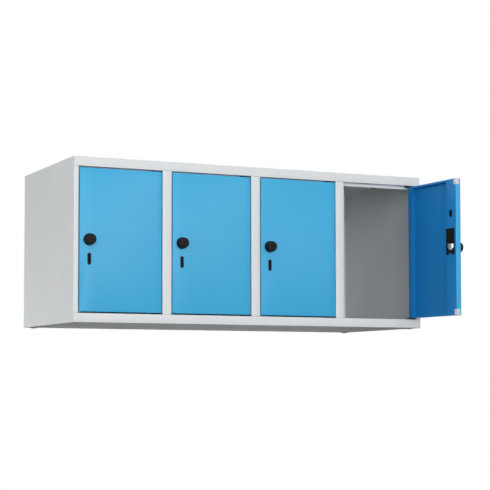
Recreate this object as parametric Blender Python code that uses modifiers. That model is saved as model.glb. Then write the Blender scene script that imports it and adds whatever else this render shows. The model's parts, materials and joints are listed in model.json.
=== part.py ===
"""A coin operated locker: a row of welded sheet steel compartments with hinged doors.

Metres, +Z up. The origin is the middle of the base panel's underside, and the doors face -Y.
Each door turns on two pins beside its right edge, and carries a coin lock whose knob draws a
bolt behind the frame. The last door stands open.
"""
import math

import bmesh
import bpy
from mathutils import Matrix, Vector

# ---------------------------------------------------------------- driving dimensions
BAYS = 4                        # compartments side by side
BAY_WIDTH = 0.300               # from one partition to the next
DEPTH = 0.500                   # front of the frame to the back
HEIGHT = 0.497                  # without the feet
SHEET = 0.001                   # steel thickness of body and doors
SEAM = 0.0003                   # clearance between pieces that touch
BEND_RADIUS = 0.0015            # outside radius of a fold
BEND_STEPS = 3                  # flats that stand for a fold

HEADER_FACE = 0.029             # frame above the doors
SILL_FACE = 0.028               # frame below the doors
STILE_FACE = 0.030              # frame between two doors
RETURN_DEPTH = 0.020            # how far the frame folds back beside a door
STOP_SET_BACK = 0.0197          # front of the strip that a door's buffers close on
STOP_WIDTH = 0.011              # how far that strip reaches into the doorway
HEADER_LIP = 0.010              # strip that hangs behind a door's top edge
HEADER_LIP_GAP = 0.014          # where it stops short of the hinge side
RELIEF = 0.002                  # corner relief where two folds pass each other
PARTITION_FLANGE = 0.012        # fold that is welded behind a stile
BACK_FLANGE = 0.012             # edge of the back tray
BACK_TOP_ROOM = 0.0003          # clearance of a partition above and below the tray's edges

DOOR_SIDE_GAP = 0.003
DOOR_END_GAP = 0.004            # above and below a door
DOOR_THICKNESS = 0.018
DOOR_EDGE_RADIUS = 0.0012
DOOR_END_FLANGE = 0.007         # inner fold along a door's top and bottom
HINGE_FLANGE = 0.020            # inner fold along the hinge side
LOCK_FLANGE = 0.052             # inner fold along the lock side
PIVOT_FROM_EDGE = 0.006         # hinge axis from the door's right edge
PIVOT_FROM_FRONT = 0.0035       # hinge axis behind the door's front
OPEN_ANGLE = math.radians(93)   # how far the last door stands open

HINGE_LENGTH = 0.032
HINGE_DEPTH = 0.016
HINGE_SET_BACK = 0.0005
PIN_RADIUS = 0.002
PIN_REACH = 0.009               # length of pin inside the door
PIN_CLEARANCE = 0.0003

LOCK_FROM_EDGE = 0.031          # knob axis from the door's free edge
LOCK_HEIGHT = 0.248             # knob axis above the base
ROSETTE_RADIUS = 0.018
ROSETTE_THICKNESS = 0.0045
KNOB_RADIUS = 0.016
KNOB_LENGTH = 0.0175            # from the rosette to the rim of the knob's face
KNOB_CROWN = 0.0015             # rise of the face's middle
KNOB_EDGE_RADIUS = 0.004
KNOB_SLIT = (0.0026, 0.014)     # width and length of the key slit
KNOB_SLIT_DEPTH = 0.004
SPINDLE_RADIUS = 0.004
SPINDLE_INSIDE = 0.011          # reach of the spindle behind the door's front

CASE_FROM_EDGE = 0.009          # lock case from the free edge
CASE_WIDTH = 0.0405
CASE_BELOW = 0.024              # case below the knob axis
CASE_ABOVE = 0.059
CASE_PROUD = 0.0028             # how far the case stands out of the door's inner face
CASE_HIDDEN_BELOW = 0.082       # the part inside the door, down past the coin slot
CASE_LEG = 0.0065               # two legs at its lower end lie on the door's fold
CASE_NOTCH = (0.0215, 0.0055)   # width and height of the arch between them

SLOT_BELOW_KNOB = 0.058
SLOT_PLATE = (0.011, 0.036)     # width and height
SLOT_PLATE_THICKNESS = 0.0018
SLOT_OPENING = (0.0032, 0.027)
COIN_CLEARANCE = 0.0003
CHUTE_DEPTH = 0.012

BOLT_FROM_EDGE = 0.0095         # nose of the drawn bolt from the free edge
BOLT_LENGTH = 0.0295
BOLT_HEIGHT = 0.0205
BOLT_THICKNESS = 0.0052
BOLT_RIM = 0.0018               # thickness of its rim, under the facets
BOLT_FACET = 0.0048             # width of the slopes round its flat middle
BOLT_CORNERS = (                # share of the length from the nose, share of the height
    (0.90, 1.00), (0.03, 0.99), (0.00, 0.37), (0.28, 0.08), (0.64, 0.00), (1.00, 0.48),
)
BOLT_THROW = 0.013
STEM_WIDTH = 0.008
STEM_HEIGHT = 0.010
STEM_LENGTH = 0.006
STEM_FROM_NOSE = 0.0175

VENT_HOLE = (0.014, 0.0235)     # oblong hole in the lock side fold
VENT_FROM_EDGE = 0.028
VENT_HEIGHT = 0.355

BUFFER_HEIGHT = 0.019
BUFFER_ON_EDGE = 0.012
BUFFER_ON_FACE = 0.011
BUFFER_THICKNESS = 0.0011
BUFFER_RADIUS = 0.005
BUFFER_END_INSET = 0.0008

FOOT_RADIUS = 0.010
FOOT_HEIGHT = 0.003             # from the base down to the floor
FOOT_FROM_SIDE = 0.025
FOOT_FROM_FRONT = 0.030
FOOT_STEM_RADIUS = 0.0027
FOOT_STEM_LENGTH = 0.004
FOOT_SEAT_RADIUS = 0.0125       # seat pressed up into the base round each foot
FOOT_SEAT_DEPTH = 0.0005

PLUG_FROM_SIDE = 0.013
PLUG_FROM_FRONT = 0.275
PLUG_RADIUS = 0.010
PLUG_THICKNESS = 0.0025
PLUG_STEM_RADIUS = 0.004

ROUND_STEPS = 40                # flats round a knob
SMALL_ROUND_STEPS = 20          # flats round a pin, a foot or a hole
MERGE = 0.00001

# ---------------------------------------------------------------- worked out from them
WIDTH = BAYS * BAY_WIDTH
LEFT, RIGHT = -WIDTH / 2, WIDTH / 2
FRONT, BACK = -DEPTH / 2, DEPTH / 2
DOORWAY_BOTTOM = SILL_FACE
DOORWAY_TOP = HEIGHT - HEADER_FACE
HALF_STILE = STILE_FACE / 2
INSIDE_LEFT = LEFT + SHEET + SEAM
INSIDE_RIGHT = RIGHT - SHEET - SEAM
HEADER_LIP_SET_BACK = STOP_SET_BACK + SHEET + SEAM

DOOR_WIDTH = BAY_WIDTH - STILE_FACE - 2 * DOOR_SIDE_GAP
DOOR_BOTTOM = DOORWAY_BOTTOM + DOOR_END_GAP
DOOR_TOP = DOORWAY_TOP - DOOR_END_GAP
# A door's own frame has its hinge axis at x = 0, y = 0, and the body's z.
DOOR_RIGHT = PIVOT_FROM_EDGE
DOOR_LEFT = DOOR_RIGHT - DOOR_WIDTH
DOOR_FRONT = -PIVOT_FROM_FRONT
DOOR_BACK = DOOR_FRONT + DOOR_THICKNESS
SKIN_BACK = DOOR_FRONT + SHEET
FLANGE_FRONT = DOOR_BACK - SHEET
LOCK_X = DOOR_LEFT + LOCK_FROM_EDGE
BOLT_FRONT = DOOR_FRONT + STOP_SET_BACK + SHEET + 2 * SEAM
CUT = 0.005                     # how far a cutter reaches past what it cuts


# ---------------------------------------------------------------- scene and materials
for old in list(bpy.data.objects):
    bpy.data.objects.remove(old, do_unlink=True)
for old in list(bpy.data.collections):
    bpy.data.collections.remove(old)

locker = bpy.data.collections.new("coin_operated_locker")
bpy.context.scene.collection.children.link(locker)


def material(name, colour, roughness, metallic=0.0):
    """A plain finish: colour is linear red, green and blue."""
    made = bpy.data.materials.new(name)
    made.use_nodes = True
    shader = made.node_tree.nodes["Principled BSDF"]
    shader.inputs["Base Color"].default_value = (*colour, 1.0)
    shader.inputs["Roughness"].default_value = roughness
    shader.inputs["Metallic"].default_value = metallic
    return made


GREY_PAINT = material("light_grey_powder_coat", (0.66, 0.68, 0.68), 0.5)
BLUE_PAINT = material("blue_powder_coat", (0.075, 0.38, 0.70), 0.45)
BLACK_PLASTIC = material("black_moulded_plastic", (0.012, 0.012, 0.013), 0.4)
GREY_PLASTIC = material("pale_grey_plastic", (0.60, 0.60, 0.63), 0.5)
ZINC = material("zinc_casting", (0.62, 0.64, 0.68), 0.32, 1.0)


# ---------------------------------------------------------------- modelling helpers
def object_from(name, shape):
    """A scratch object from a bmesh, outside the part's collection."""
    mesh = bpy.data.meshes.new(name)
    shape.to_mesh(mesh)
    shape.free()
    made = bpy.data.objects.new(name, mesh)
    bpy.context.scene.collection.objects.link(made)
    return made


def block(name, low, high):
    """A box between two corners."""
    low, high = Vector(low), Vector(high)
    shape = bmesh.new()
    bmesh.ops.create_cube(shape, size=1)
    bmesh.ops.scale(shape, vec=high - low, verts=shape.verts)
    bmesh.ops.translate(shape, vec=(low + high) / 2, verts=shape.verts)
    return object_from(name, shape)


def rod(name, radius, start, end, steps=SMALL_ROUND_STEPS):
    """A round bar from one point to another."""
    start, end = Vector(start), Vector(end)
    shape = bmesh.new()
    bmesh.ops.create_cone(
        shape, cap_ends=True, segments=steps, radius1=radius, radius2=radius,
        depth=(end - start).length,
    )
    turn = (end - start).to_track_quat("Z", "Y").to_matrix().to_4x4()
    bmesh.ops.transform(
        shape, matrix=Matrix.Translation((start + end) / 2) @ turn, verts=shape.verts
    )
    return object_from(name, shape)


def oblong(name, size, middle, low_y, high_y, steps=SMALL_ROUND_STEPS):
    """An upright slot shape with round ends, square to Y."""
    width, height = size
    radius = width / 2
    shape = bmesh.new()
    bmesh.ops.create_circle(shape, cap_ends=True, segments=steps, radius=radius)
    bmesh.ops.rotate(
        shape, cent=(0, 0, 0), matrix=Matrix.Rotation(math.radians(90), 3, "X"),
        verts=shape.verts,
    )
    for corner in shape.verts:
        corner.co.z += math.copysign(height / 2 - radius, corner.co.z)
        corner.co += Vector((middle[0], low_y, middle[1]))
    outline = shape.faces[:]
    raised = bmesh.ops.extrude_face_region(shape, geom=outline)
    tops = [part for part in raised["geom"] if isinstance(part, bmesh.types.BMVert)]
    bmesh.ops.translate(shape, vec=(0, high_y - low_y, 0), verts=tops)
    bmesh.ops.recalc_face_normals(shape, faces=shape.faces)
    return object_from(name, shape)


def rounded(corners, radius, steps):
    """The same outline with each inner corner drawn as an arc."""
    points = [Vector(corners[0])]
    for before, corner, after in zip(corners, corners[1:], corners[2:]):
        corner = Vector(corner)
        arriving = (corner - Vector(before)).normalized()
        leaving = (Vector(after) - corner).normalized()
        centre = corner + radius * (leaving - arriving)
        for step in range(steps + 1):
            turn = math.pi / 2 * step / steps
            points.append(
                centre
                - radius * math.cos(turn) * leaving
                + radius * math.sin(turn) * arriving
            )
    points.append(Vector(corners[-1]))
    return points


def folded_sheet(name, corners, start, end, along="Z"):
    """Sheet steel folded along an outline of its outer face, with the steel on the left.

    The outline lies in X and Y and runs along Z, or lies in Y and Z and runs along X.
    """
    shape = bmesh.new()
    rows = []
    for u, v in rounded(corners, BEND_RADIUS, BEND_STEPS):
        ends = [(u, v, w) if along == "Z" else (w, u, v) for w in (start, end)]
        rows.append([shape.verts.new(point) for point in ends])
    for row, following in zip(rows, rows[1:]):
        shape.faces.new((row[0], following[0], following[1], row[1]))
    made = object_from(name, shape)
    wall = made.modifiers.new("sheet", "SOLIDIFY")
    wall.thickness = SHEET
    wall.offset = -1
    wall.use_even_offset = True
    return made


def turned(name, profile, steps=ROUND_STEPS):
    """A piece turned about Z from radius and height pairs, outer side top to bottom."""
    shape = bmesh.new()
    points = [shape.verts.new((radius, 0, height)) for radius, height in profile]
    for point, following in zip(points, points[1:]):
        shape.edges.new((point, following))
    made = object_from(name, shape)
    spin = made.modifiers.new("turn", "SCREW")
    spin.steps = steps
    spin.render_steps = steps
    spin.use_merge_vertices = True
    spin.merge_threshold = MERGE
    return made


def arc(centre, radius, start, end, steps):
    """Points on an arc, angles in degrees."""
    turns = [math.radians(start + (end - start) * step / steps) for step in range(steps + 1)]
    return [(centre[0] + radius * math.cos(t), centre[1] + radius * math.sin(t)) for t in turns]


def combine(made, tools, operation="DIFFERENCE"):
    """Cut or join scratch objects with another one, and give the finished object."""
    for tool in tools:
        step = made.modifiers.new(tool.name, "BOOLEAN")
        step.operation = operation
        step.object = tool
    return finished(made, tools)


def finished(made, tools=()):
    """The object with its modifiers applied, without the tools."""
    graph = bpy.context.evaluated_depsgraph_get()
    mesh = bpy.data.meshes.new_from_object(made.evaluated_get(graph))
    made.modifiers.clear()
    made.data = mesh
    for tool in tools:
        bpy.data.objects.remove(tool, do_unlink=True)
    return made


def rounded_edges(made, width, segments=2, angle=40):
    """Round an object's sharp edges."""
    edge = made.modifiers.new("edges", "BEVEL")
    edge.width = width
    edge.segments = segments
    edge.limit_method = "ANGLE"
    edge.angle_limit = math.radians(angle)
    return finished(made)


def smooth(mesh):
    """Shade round forms smooth and keep their sharp edges."""
    mesh.shade_smooth()
    mesh.set_sharp_from_angle(angle=math.radians(35))


def add_part(name, made, finish, parent=None, placed=None):
    """Put a copy of a finished scratch object in the locker, under its own name."""
    part = bpy.data.objects.new(name, made.data)
    locker.objects.link(part)
    if not part.data.materials:
        part.data.materials.append(finish)
        smooth(part.data)
    part.parent = parent
    if placed is not None:
        part.matrix_local = placed
    return part


def add_single(made, finish):
    """Put a finished scratch object in the locker under the name that it has."""
    made_name = made.name
    made.name = made_name + "_draft"
    add_part(made_name, made, finish)
    bpy.data.objects.remove(made, do_unlink=True)


# ---------------------------------------------------------------- body panels
def bay_left(bay):
    """Where a bay starts: the middle of the partition on its left."""
    return LEFT + bay * BAY_WIDTH


def make_roof():
    """Roof, header and stop lip, folded from one sheet."""
    roof = folded_sheet("roof_panel", [
        (BACK, HEIGHT),
        (FRONT, HEIGHT),
        (FRONT, DOORWAY_TOP),
        (FRONT + HEADER_LIP_SET_BACK, DOORWAY_TOP),
        (FRONT + HEADER_LIP_SET_BACK, DOORWAY_TOP - HEADER_LIP),
    ], INSIDE_LEFT, INSIDE_RIGHT, along="X")
    tools = [rod("plug_hole", PLUG_STEM_RADIUS + SEAM, (*plug_place(), HEIGHT - CUT),
                 (*plug_place(), HEIGHT + CUT))]
    for bay in range(BAYS):
        stile_edge = bay_left(bay + 1) - HALF_STILE
        tools.append(block(
            f"lip_notch_{bay}",
            (stile_edge - HEADER_LIP_GAP, FRONT + HEADER_LIP_SET_BACK - CUT / 2,
             DOORWAY_TOP - HEADER_LIP - CUT),
            (stile_edge + STILE_FACE, FRONT + HEADER_LIP_SET_BACK + CUT, DOORWAY_TOP - SEAM),
        ))
    add_single(combine(roof, tools), GREY_PAINT)


def make_base():
    """Floor and sill, folded from one sheet, with a pressed seat and a hole for each foot."""
    base = folded_sheet("base_panel", [
        (FRONT + RETURN_DEPTH, DOORWAY_BOTTOM),
        (FRONT, DOORWAY_BOTTOM),
        (FRONT, 0),
        (BACK, 0),
    ], INSIDE_LEFT, INSIDE_RIGHT, along="X")
    places = foot_places()
    raised = [
        rod("seat_top", FOOT_SEAT_RADIUS + SHEET, (x, y, SHEET / 2), (x, y, FOOT_SEAT_DEPTH + SHEET))
        for x, y in places
    ]
    base = combine(base, raised, "UNION")
    tools = [rod("seat", FOOT_SEAT_RADIUS, (x, y, -CUT), (x, y, FOOT_SEAT_DEPTH)) for x, y in places]
    tools += [rod("hole", FOOT_STEM_RADIUS + SEAM, (x, y, -CUT), (x, y, CUT)) for x, y in places]
    add_single(combine(base, tools), GREY_PAINT)


def make_back():
    """A shallow tray between the sides, open to the front."""
    tray = block("back_panel", (INSIDE_LEFT, BACK - BACK_FLANGE, SHEET + SEAM),
                 (INSIDE_RIGHT, BACK, HEIGHT - SHEET - SEAM))
    hollow = block("tray_hollow", (INSIDE_LEFT + SHEET, BACK - BACK_FLANGE - CUT, 2 * SHEET + SEAM),
                   (INSIDE_RIGHT - SHEET, BACK - SHEET, HEIGHT - 2 * SHEET - SEAM))
    add_single(combine(tray, [hollow]), GREY_PAINT)


def fold_relief(low_x, high_x):
    """Clears the top of a stop strip from the bend of the header's lip."""
    return block("relief", (low_x, FRONT + STOP_SET_BACK - RELIEF, DOORWAY_TOP - RELIEF),
                 (high_x, FRONT + RETURN_DEPTH + CUT, DOORWAY_TOP + CUT))


def corner_notches(low_x, high_x):
    """Room for the ends of header and sill behind a side panel's front fold."""
    reach = FRONT + HEADER_LIP_SET_BACK + SHEET + SEAM
    return [
        block("header_room", (low_x, FRONT - CUT, DOORWAY_TOP - SEAM), (high_x, reach, HEIGHT + CUT)),
        block("sill_room", (low_x, FRONT - CUT, -CUT), (high_x, reach, DOORWAY_BOTTOM + SEAM)),
    ]


def make_sides():
    """Side panels, folded at the front into the outer stiles."""
    left = folded_sheet("side_panel_left", [
        (LEFT, BACK),
        (LEFT, FRONT),
        (LEFT + HALF_STILE, FRONT),
        (LEFT + HALF_STILE, FRONT + STOP_SET_BACK),
        (LEFT + HALF_STILE + STOP_WIDTH, FRONT + STOP_SET_BACK),
    ], 0, HEIGHT)
    notches = corner_notches(LEFT + SHEET, LEFT + STILE_FACE)
    notches.append(fold_relief(LEFT + SHEET, LEFT + STILE_FACE))
    add_single(combine(left, notches), GREY_PAINT)
    right = folded_sheet("side_panel_right", [
        (RIGHT - HALF_STILE, FRONT + RETURN_DEPTH),
        (RIGHT - HALF_STILE, FRONT),
        (RIGHT, FRONT),
        (RIGHT, BACK),
    ], 0, HEIGHT)
    add_single(combine(right, corner_notches(RIGHT - STILE_FACE, RIGHT - SHEET)), GREY_PAINT)


def make_stiles_and_partitions():
    """Frame channels between the doors, and the sheets behind them."""
    for bay in range(1, BAYS):
        middle = bay_left(bay)
        stile = folded_sheet(f"stile_{bay}", [
            (middle - HALF_STILE, FRONT + RETURN_DEPTH),
            (middle - HALF_STILE, FRONT),
            (middle + HALF_STILE, FRONT),
            (middle + HALF_STILE, FRONT + STOP_SET_BACK),
            (middle + HALF_STILE + STOP_WIDTH, FRONT + STOP_SET_BACK),
        ], DOORWAY_BOTTOM + SEAM, DOORWAY_TOP - SEAM)
        relief = fold_relief(middle, middle + STILE_FACE)
        add_single(combine(stile, [relief]), GREY_PAINT)
        clear_of_tray = 2 * SHEET + SEAM + BACK_TOP_ROOM
        partition = folded_sheet(f"partition_{bay}", [
            (middle - SHEET / 2, BACK - SHEET - SEAM),
            (middle - SHEET / 2, FRONT + SHEET + SEAM),
            (middle - SHEET / 2 + PARTITION_FLANGE, FRONT + SHEET + SEAM),
        ], clear_of_tray, HEIGHT - clear_of_tray)
        room = SHEET + 2 * SEAM
        rails = [
            block("header_room", (middle - STILE_FACE, FRONT - CUT, DOORWAY_TOP - HEADER_LIP - SEAM),
                  (middle + STILE_FACE, FRONT + HEADER_LIP_SET_BACK + room, HEIGHT)),
            block("sill_room", (middle - STILE_FACE, FRONT - CUT, 0),
                  (middle + STILE_FACE, FRONT + RETURN_DEPTH + SEAM, DOORWAY_BOTTOM + SEAM)),
        ]
        add_single(combine(partition, rails), GREY_PAINT)


def foot_places():
    """Where the feet stand, front pair first."""
    return [
        (side * (WIDTH / 2 - FOOT_FROM_SIDE), end * (DEPTH / 2 - FOOT_FROM_FRONT))
        for end in (-1, 1) for side in (-1, 1)
    ]


def make_feet():
    """Push-in feet: a disc with a stem through the base."""
    seated = FOOT_SEAT_DEPTH - SEAM
    foot = finished(turned("foot", [
        (0, seated + FOOT_STEM_LENGTH),
        (FOOT_STEM_RADIUS - SEAM, seated + FOOT_STEM_LENGTH),
        (FOOT_STEM_RADIUS, seated + FOOT_STEM_LENGTH - SEAM),
        (FOOT_STEM_RADIUS, seated),
        (FOOT_RADIUS, seated),
        (FOOT_RADIUS, -FOOT_HEIGHT + SHEET),
        (FOOT_RADIUS - SHEET, -FOOT_HEIGHT),
        (0, -FOOT_HEIGHT),
    ], SMALL_ROUND_STEPS))
    names = ("foot_front_left", "foot_front_right", "foot_rear_left", "foot_rear_right")
    for name, (x, y) in zip(names, foot_places()):
        add_part(name, foot, GREY_PLASTIC, placed=Matrix.Translation((x, y, 0)))
    bpy.data.objects.remove(foot, do_unlink=True)


def plug_place():
    """Where the roof's blanking plug sits."""
    return RIGHT - PLUG_FROM_SIDE, FRONT + PLUG_FROM_FRONT


def make_plug():
    """A blanking plug under the roof, with its stem in the roof's hole."""
    plug = finished(turned("plug", [
        (0, -SEAM),
        (PLUG_STEM_RADIUS, -SEAM),
        (PLUG_STEM_RADIUS, -SHEET - SEAM),
        (PLUG_RADIUS, -SHEET - SEAM),
        (PLUG_RADIUS, -SHEET - PLUG_THICKNESS / 2),
        (PLUG_RADIUS - PLUG_THICKNESS / 2, -SHEET - PLUG_THICKNESS),
        (0, -SHEET - PLUG_THICKNESS),
    ]))
    add_part("roof_plug", plug, BLACK_PLASTIC,
             placed=Matrix.Translation((*plug_place(), HEIGHT)))
    bpy.data.objects.remove(plug, do_unlink=True)


# ---------------------------------------------------------------- door pieces, in the door's frame
def door_block(name, low_from_edge, high_from_edge, low_y, high_y, low_z, high_z):
    """A block measured along the door from its free edge."""
    return block(name, (DOOR_LEFT + low_from_edge, low_y, low_z),
                 (DOOR_LEFT + high_from_edge, high_y, high_z))


def make_door_pan():
    """The door: a pan of folded sheet with a box section along each side."""
    pan = block("door", (DOOR_LEFT, DOOR_FRONT, DOOR_BOTTOM), (DOOR_RIGHT, DOOR_BACK, DOOR_TOP))
    pan = rounded_edges(pan, DOOR_EDGE_RADIUS)
    lip_left = DOOR_WIDTH - HINGE_FLANGE
    low_z, high_z = DOOR_BOTTOM + SHEET, DOOR_TOP - SHEET
    slot_z = LOCK_HEIGHT - SLOT_BELOW_KNOB
    tools = [
        door_block("hollow", SHEET, lip_left, SKIN_BACK, FLANGE_FRONT, low_z, high_z),
        door_block("hinge_hollow", lip_left + SHEET, DOOR_WIDTH - SHEET, SKIN_BACK, FLANGE_FRONT,
                   low_z, high_z),
        door_block("lip_slit", lip_left - SHEET, lip_left + 2 * SHEET, SKIN_BACK,
                   SKIN_BACK + 2 * SEAM, low_z, high_z),
        door_block("window", LOCK_FLANGE, lip_left, SKIN_BACK + SEAM, DOOR_BACK + CUT,
                   DOOR_BOTTOM + DOOR_END_FLANGE, DOOR_TOP - DOOR_END_FLANGE),
        door_block("case_window", CASE_FROM_EDGE - SEAM, CASE_FROM_EDGE + CASE_WIDTH + SEAM,
                   FLANGE_FRONT - CUT / 2, DOOR_BACK + CUT,
                   LOCK_HEIGHT - CASE_BELOW + CASE_LEG - SEAM, LOCK_HEIGHT + CASE_ABOVE + SEAM),
        oblong("vent", VENT_HOLE, (DOOR_LEFT + VENT_FROM_EDGE, VENT_HEIGHT),
               FLANGE_FRONT - CUT / 2, DOOR_BACK + CUT),
        rod("spindle_hole", SPINDLE_RADIUS + 2 * SEAM, (LOCK_X, DOOR_FRONT - CUT, LOCK_HEIGHT),
            (LOCK_X, SKIN_BACK + CUT, LOCK_HEIGHT)),
        oblong("slot_hole", (SLOT_OPENING[0] + 4 * SEAM, SLOT_OPENING[1] + 4 * SEAM),
               (LOCK_X, slot_z), DOOR_FRONT - CUT, SKIN_BACK + CUT / 2),
    ]
    for z in (DOOR_BOTTOM, DOOR_TOP):
        tools.append(rod("pin_hole", PIN_RADIUS + PIN_CLEARANCE, (0, 0, z - 2 * SHEET),
                         (0, 0, z + 2 * SHEET)))
    return combine(pan, tools)


def make_hinge():
    """A bottom hinge: a flat block on the frame with a pin that the door turns on."""
    top = DOOR_BOTTOM - SEAM
    right = DOOR_RIGHT + DOOR_SIDE_GAP - SEAM
    front = -PIVOT_FROM_FRONT + HINGE_SET_BACK
    plate = block("hinge", (right - HINGE_LENGTH, front, DOORWAY_BOTTOM + SEAM),
                  (right, front + HINGE_DEPTH, top))
    pin = rod("pin", PIN_RADIUS, (0, 0, top - SEAM), (0, 0, DOOR_BOTTOM + PIN_REACH))
    return combine(plate, [pin], "UNION")


def make_rosette():
    """The ring between knob and door."""
    outer, bore = ROSETTE_RADIUS, SPINDLE_RADIUS + SEAM
    rim = ROSETTE_THICKNESS / 3
    return finished(turned("rosette", [
        (bore, SEAM),
        (bore, ROSETTE_THICKNESS),
        (outer - rim, ROSETTE_THICKNESS),
        (outer, ROSETTE_THICKNESS - rim),
        (outer, SEAM),
        (bore, SEAM),
    ]))


def make_knob():
    """The turning knob, with its key slit and its spindle."""
    low = ROSETTE_THICKNESS + SEAM
    high = low + KNOB_LENGTH
    rim = arc((KNOB_RADIUS - KNOB_EDGE_RADIUS, high - KNOB_EDGE_RADIUS), KNOB_EDGE_RADIUS, 90, 0, 4)
    knob = finished(turned("knob", [
        (0, high + KNOB_CROWN),
        ((KNOB_RADIUS - KNOB_EDGE_RADIUS) / 2, high + KNOB_CROWN * 3 / 4),
        *rim,
        (KNOB_RADIUS, low + SHEET),
        (KNOB_RADIUS - SHEET, low),
        (SPINDLE_RADIUS, low),
        (SPINDLE_RADIUS, -SPINDLE_INSIDE),
        (0, -SPINDLE_INSIDE),
    ]))
    width, length = KNOB_SLIT
    slit = block("slit", (-width / 2, -length / 2, high + KNOB_CROWN - KNOB_SLIT_DEPTH),
                 (width / 2, length / 2, high + CUT))
    return combine(knob, [slit])


def make_slot_plate():
    """The coin slot's plate: oblong, with the slot through it."""
    middle = (LOCK_X, LOCK_HEIGHT - SLOT_BELOW_KNOB)
    plate = oblong("slot_plate", SLOT_PLATE, middle, DOOR_FRONT - SEAM - SLOT_PLATE_THICKNESS,
                   DOOR_FRONT - SEAM, ROUND_STEPS)
    slot = oblong("slot", SLOT_OPENING, middle, DOOR_FRONT - CUT, DOOR_FRONT + CUT)
    return combine(plate, [slot])


def make_lock_case():
    """The lock's case: a face with two legs on the door's fold, and a body hidden behind it."""
    front, back = SKIN_BACK + SEAM, FLANGE_FRONT - SEAM
    low, high = LOCK_HEIGHT - CASE_BELOW, LOCK_HEIGHT + CASE_ABOVE
    far_edge = CASE_FROM_EDGE + CASE_WIDTH
    case = door_block("lock_case", CASE_FROM_EDGE, far_edge, front, back,
                      LOCK_HEIGHT - CASE_HIDDEN_BELOW, high)
    face = door_block("case_face", CASE_FROM_EDGE, far_edge, back - SHEET, DOOR_BACK + CASE_PROUD,
                      low + CASE_LEG, high)
    legs = door_block("case_legs", CASE_FROM_EDGE, far_edge, DOOR_BACK + SEAM,
                      DOOR_BACK + CASE_PROUD, low, low + CASE_LEG + SHEET)
    case = combine(case, [face, legs], "UNION")
    notch_width, notch_height = CASE_NOTCH
    arch = rod("arch", notch_width / 2, (LOCK_X, DOOR_BACK, 0),
               (LOCK_X, DOOR_BACK + CASE_PROUD + CUT, 0), ROUND_STEPS)
    flatten = Matrix.Diagonal((1, 1, 2 * notch_height / notch_width, 1))
    arch.data.transform(Matrix.Translation((0, 0, low)) @ flatten)
    stem_low = BOLT_FROM_EDGE + STEM_FROM_NOSE
    slot_z = LOCK_HEIGHT - SLOT_BELOW_KNOB
    tools = [
        arch,
        rod("bore", SPINDLE_RADIUS + SEAM, (LOCK_X, front - CUT, LOCK_HEIGHT),
            (LOCK_X, DOOR_FRONT + SPINDLE_INSIDE + SEAM, LOCK_HEIGHT)),
        oblong("chute", (SLOT_OPENING[0] + 2 * COIN_CLEARANCE, SLOT_OPENING[1] + 2 * COIN_CLEARANCE),
               (LOCK_X, slot_z), front - CUT, front + CHUTE_DEPTH),
        door_block("stem_slot", stem_low - BOLT_THROW - SEAM, stem_low + STEM_WIDTH + SEAM,
                   BOLT_FRONT - STEM_LENGTH - SEAM, DOOR_BACK + CUT,
                   LOCK_HEIGHT - STEM_HEIGHT / 2 - SEAM, LOCK_HEIGHT + STEM_HEIGHT / 2 + SEAM),
    ]
    return combine(case, tools)


def make_bolt():
    """The sliding bolt: a six-sided casting with sloped facets, and a stem in the case's slot."""
    left, low = DOOR_LEFT + BOLT_FROM_EDGE, LOCK_HEIGHT - BOLT_HEIGHT / 2
    shape = bmesh.new()
    shape.faces.new([
        shape.verts.new((left + along * BOLT_LENGTH, BOLT_FRONT, low + up * BOLT_HEIGHT))
        for along, up in BOLT_CORNERS
    ])
    rim = bmesh.ops.extrude_face_region(shape, geom=shape.faces[:])["geom"]
    raised = [part for part in rim if isinstance(part, bmesh.types.BMVert)]
    bmesh.ops.translate(shape, vec=(0, BOLT_RIM, 0), verts=raised)
    bmesh.ops.recalc_face_normals(shape, faces=shape.faces)
    top = [part for part in rim if isinstance(part, bmesh.types.BMFace)]
    bmesh.ops.inset_region(shape, faces=top, thickness=BOLT_FACET, depth=BOLT_THICKNESS - BOLT_RIM)
    head = object_from("bolt", shape)
    stem = door_block("stem", BOLT_FROM_EDGE + STEM_FROM_NOSE,
                      BOLT_FROM_EDGE + STEM_FROM_NOSE + STEM_WIDTH,
                      BOLT_FRONT - STEM_LENGTH, BOLT_FRONT + SHEET,
                      LOCK_HEIGHT - STEM_HEIGHT / 2, LOCK_HEIGHT + STEM_HEIGHT / 2)
    return combine(head, [stem], "UNION")


def make_buffer():
    """A top buffer: a pad round the corner of the free edge, level with the door's top."""
    outer = BUFFER_THICKNESS + SEAM
    low, high = DOOR_TOP - BUFFER_END_INSET - BUFFER_HEIGHT, DOOR_TOP - BUFFER_END_INSET
    pad = door_block("buffer", -outer, BUFFER_ON_FACE, DOOR_BACK - BUFFER_ON_EDGE, DOOR_BACK + outer,
                     low, high)
    shape = bmesh.new()
    shape.from_mesh(pad.data)
    far = DOOR_LEFT + BUFFER_ON_FACE - MERGE
    round_edges = [
        edge for edge in shape.edges
        if all(end.co.x > far for end in edge.verts)
        and abs(edge.verts[0].co.y - edge.verts[1].co.y) > MERGE
    ]
    bmesh.ops.bevel(shape, geom=round_edges, offset=BUFFER_RADIUS, offset_type="OFFSET", segments=4,
                    profile=0.5, affect="EDGES")
    shape.to_mesh(pad.data)
    shape.free()
    room = door_block("room", -SEAM, BUFFER_ON_FACE + CUT, DOOR_FRONT - CUT, DOOR_BACK + SEAM,
                      low - CUT, high + CUT)
    return combine(pad, [room])


def mirrored(made, middle_z):
    """A scratch copy turned over top to bottom."""
    shape = bmesh.new()
    shape.from_mesh(made.data)
    bmesh.ops.scale(shape, vec=(1, 1, -1), verts=shape.verts)
    bmesh.ops.translate(shape, vec=(0, 0, 2 * middle_z), verts=shape.verts)
    bmesh.ops.reverse_faces(shape, faces=shape.faces)
    return object_from(made.name + "_mirrored", shape)


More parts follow.
